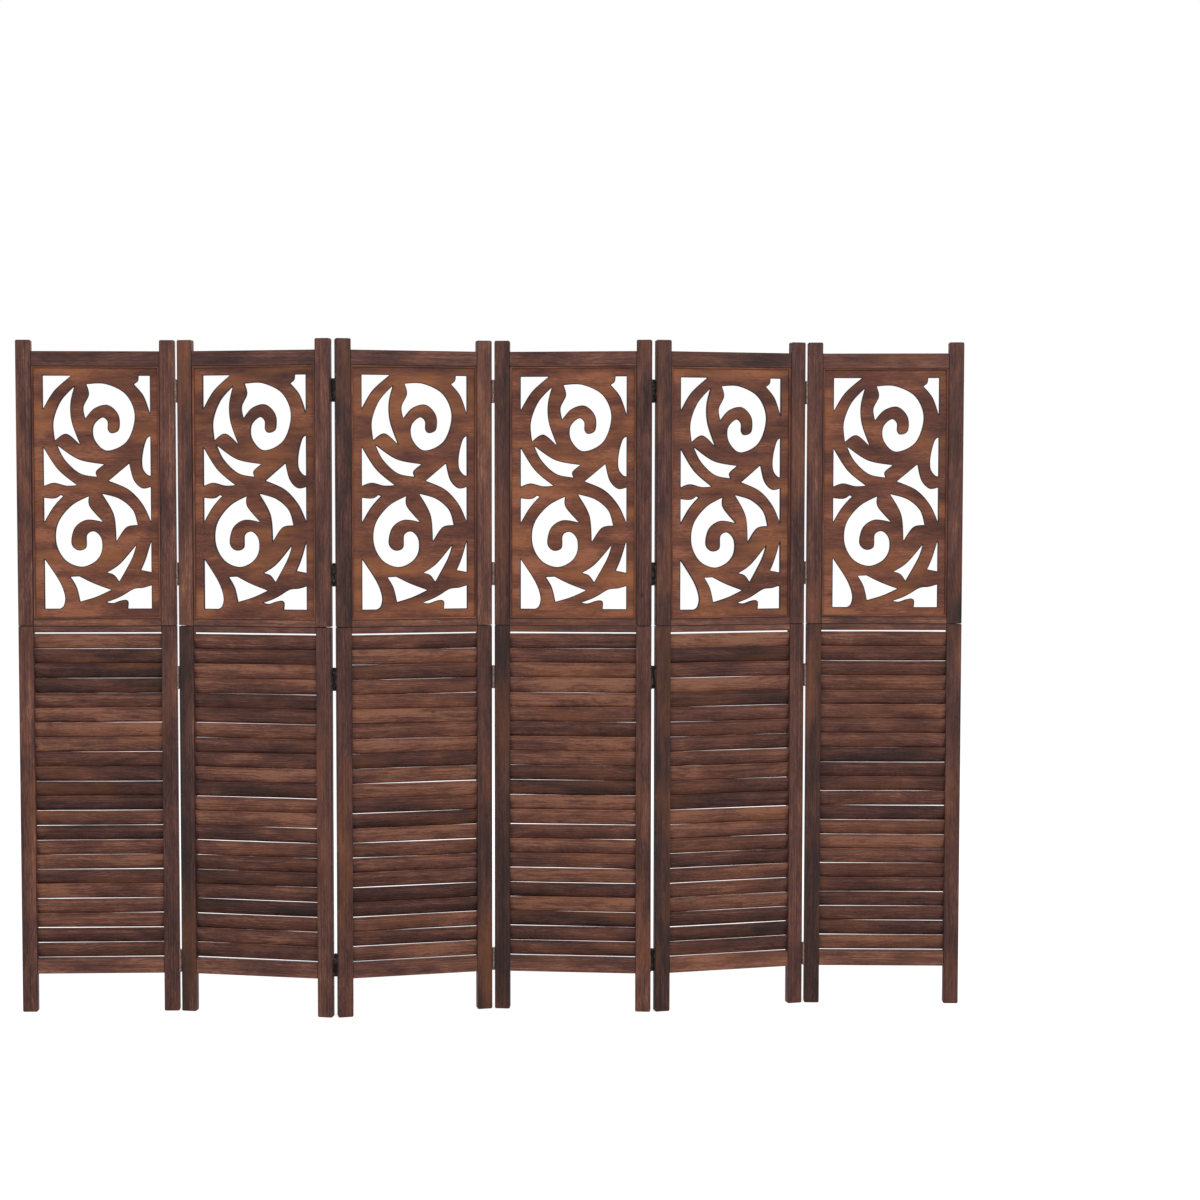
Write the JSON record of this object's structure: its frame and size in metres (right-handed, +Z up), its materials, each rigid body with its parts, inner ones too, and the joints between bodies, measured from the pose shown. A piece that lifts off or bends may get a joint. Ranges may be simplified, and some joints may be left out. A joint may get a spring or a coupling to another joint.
{
  "type": "folding room screen",
  "caption": "Folding room screen of hinged wooden panels, each with a sawn scroll-fretwork board above a bank of fixed louvre slats and short legs.",
  "frame": {"origin": "on the floor, at the middle of the outline of the screen as it stands in its zig-zag", "axes": "+X along the screen from its left end to its right as seen from the front, +Y from the front to the back, +Z up"},
  "size_m": [2.3962, 0.1336, 1.7],
  "materials": {
    "frame_wood": "dark brown stain, satin",
    "board_wood": "warm brown stain, satin",
    "slat_wood": "mid brown stain, satin",
    "hinge_steel": "steel, stained and browned with the wood"
  },
  "bodies": {
    "panel_1": {"panel_1_left_stile": "frame_wood", "panel_1_right_stile": "frame_wood", "panel_1_top_rail": "frame_wood", "panel_1_board_rail": "frame_wood", "panel_1_louvre_rail": "frame_wood", "panel_1_bottom_rail": "frame_wood", "panel_1_fretwork_board": "board_wood", "panel_1_louvre_slats": "slat_wood", "hinge_line_1_pinned_leaves": "hinge_steel"},
    "panel_2": {"panel_2_left_stile": "frame_wood", "panel_2_right_stile": "frame_wood", "panel_2_top_rail": "frame_wood", "panel_2_board_rail": "frame_wood", "panel_2_louvre_rail": "frame_wood", "panel_2_bottom_rail": "frame_wood", "panel_2_fretwork_board": "board_wood", "panel_2_louvre_slats": "slat_wood", "hinge_line_1_bored_leaves": "hinge_steel", "hinge_line_2_pinned_leaves": "hinge_steel"},
    "panel_3": {"panel_3_left_stile": "frame_wood", "panel_3_right_stile": "frame_wood", "panel_3_top_rail": "frame_wood", "panel_3_board_rail": "frame_wood", "panel_3_louvre_rail": "frame_wood", "panel_3_bottom_rail": "frame_wood", "panel_3_fretwork_board": "board_wood", "panel_3_louvre_slats": "slat_wood", "hinge_line_2_bored_leaves": "hinge_steel", "hinge_line_3_pinned_leaves": "hinge_steel"},
    "panel_4": {"panel_4_left_stile": "frame_wood", "panel_4_right_stile": "frame_wood", "panel_4_top_rail": "frame_wood", "panel_4_board_rail": "frame_wood", "panel_4_louvre_rail": "frame_wood", "panel_4_bottom_rail": "frame_wood", "panel_4_fretwork_board": "board_wood", "panel_4_louvre_slats": "slat_wood", "hinge_line_3_bored_leaves": "hinge_steel", "hinge_line_4_pinned_leaves": "hinge_steel"},
    "panel_5": {"panel_5_left_stile": "frame_wood", "panel_5_right_stile": "frame_wood", "panel_5_top_rail": "frame_wood", "panel_5_board_rail": "frame_wood", "panel_5_louvre_rail": "frame_wood", "panel_5_bottom_rail": "frame_wood", "panel_5_fretwork_board": "board_wood", "panel_5_louvre_slats": "slat_wood", "hinge_line_4_bored_leaves": "hinge_steel", "hinge_line_5_pinned_leaves": "hinge_steel"},
    "panel_6": {"panel_6_left_stile": "frame_wood", "panel_6_right_stile": "frame_wood", "panel_6_top_rail": "frame_wood", "panel_6_board_rail": "frame_wood", "panel_6_louvre_rail": "frame_wood", "panel_6_bottom_rail": "frame_wood", "panel_6_fretwork_board": "board_wood", "panel_6_louvre_slats": "slat_wood", "hinge_line_5_bored_leaves": "hinge_steel"}
  },
  "joints": [
    {"name": "hinge_line_1_fold", "type": "hinge", "parent": "panel_1", "child": "panel_2", "pos_m": [-0.79916, 0.0189, 0.85], "axis": [0, 0, -1], "range_deg": [-12.7, 167.3]},
    {"name": "hinge_line_2_fold", "type": "hinge", "parent": "panel_2", "child": "panel_3", "pos_m": [-0.40123, -0.0443, 0.85], "axis": [0, 0, 1], "range_deg": [-24.8, 155.2]},
    {"name": "hinge_line_3_fold", "type": "hinge", "parent": "panel_3", "child": "panel_4", "pos_m": [-0.00225, 0.01195, 0.85], "axis": [0, 0, -1], "range_deg": [-19.6, 160.4]},
    {"name": "hinge_line_4_fold", "type": "hinge", "parent": "panel_4", "child": "panel_5", "pos_m": [0.39977, -0.01493, 0.85], "axis": [0, 0, 1], "range_deg": [-19.9, 160.1]},
    {"name": "hinge_line_5_fold", "type": "hinge", "parent": "panel_5", "child": "panel_6", "pos_m": [0.79845, 0.04341, 0.85], "axis": [0, 0, -1], "range_deg": [-15.8, 164.2]}
  ]
}
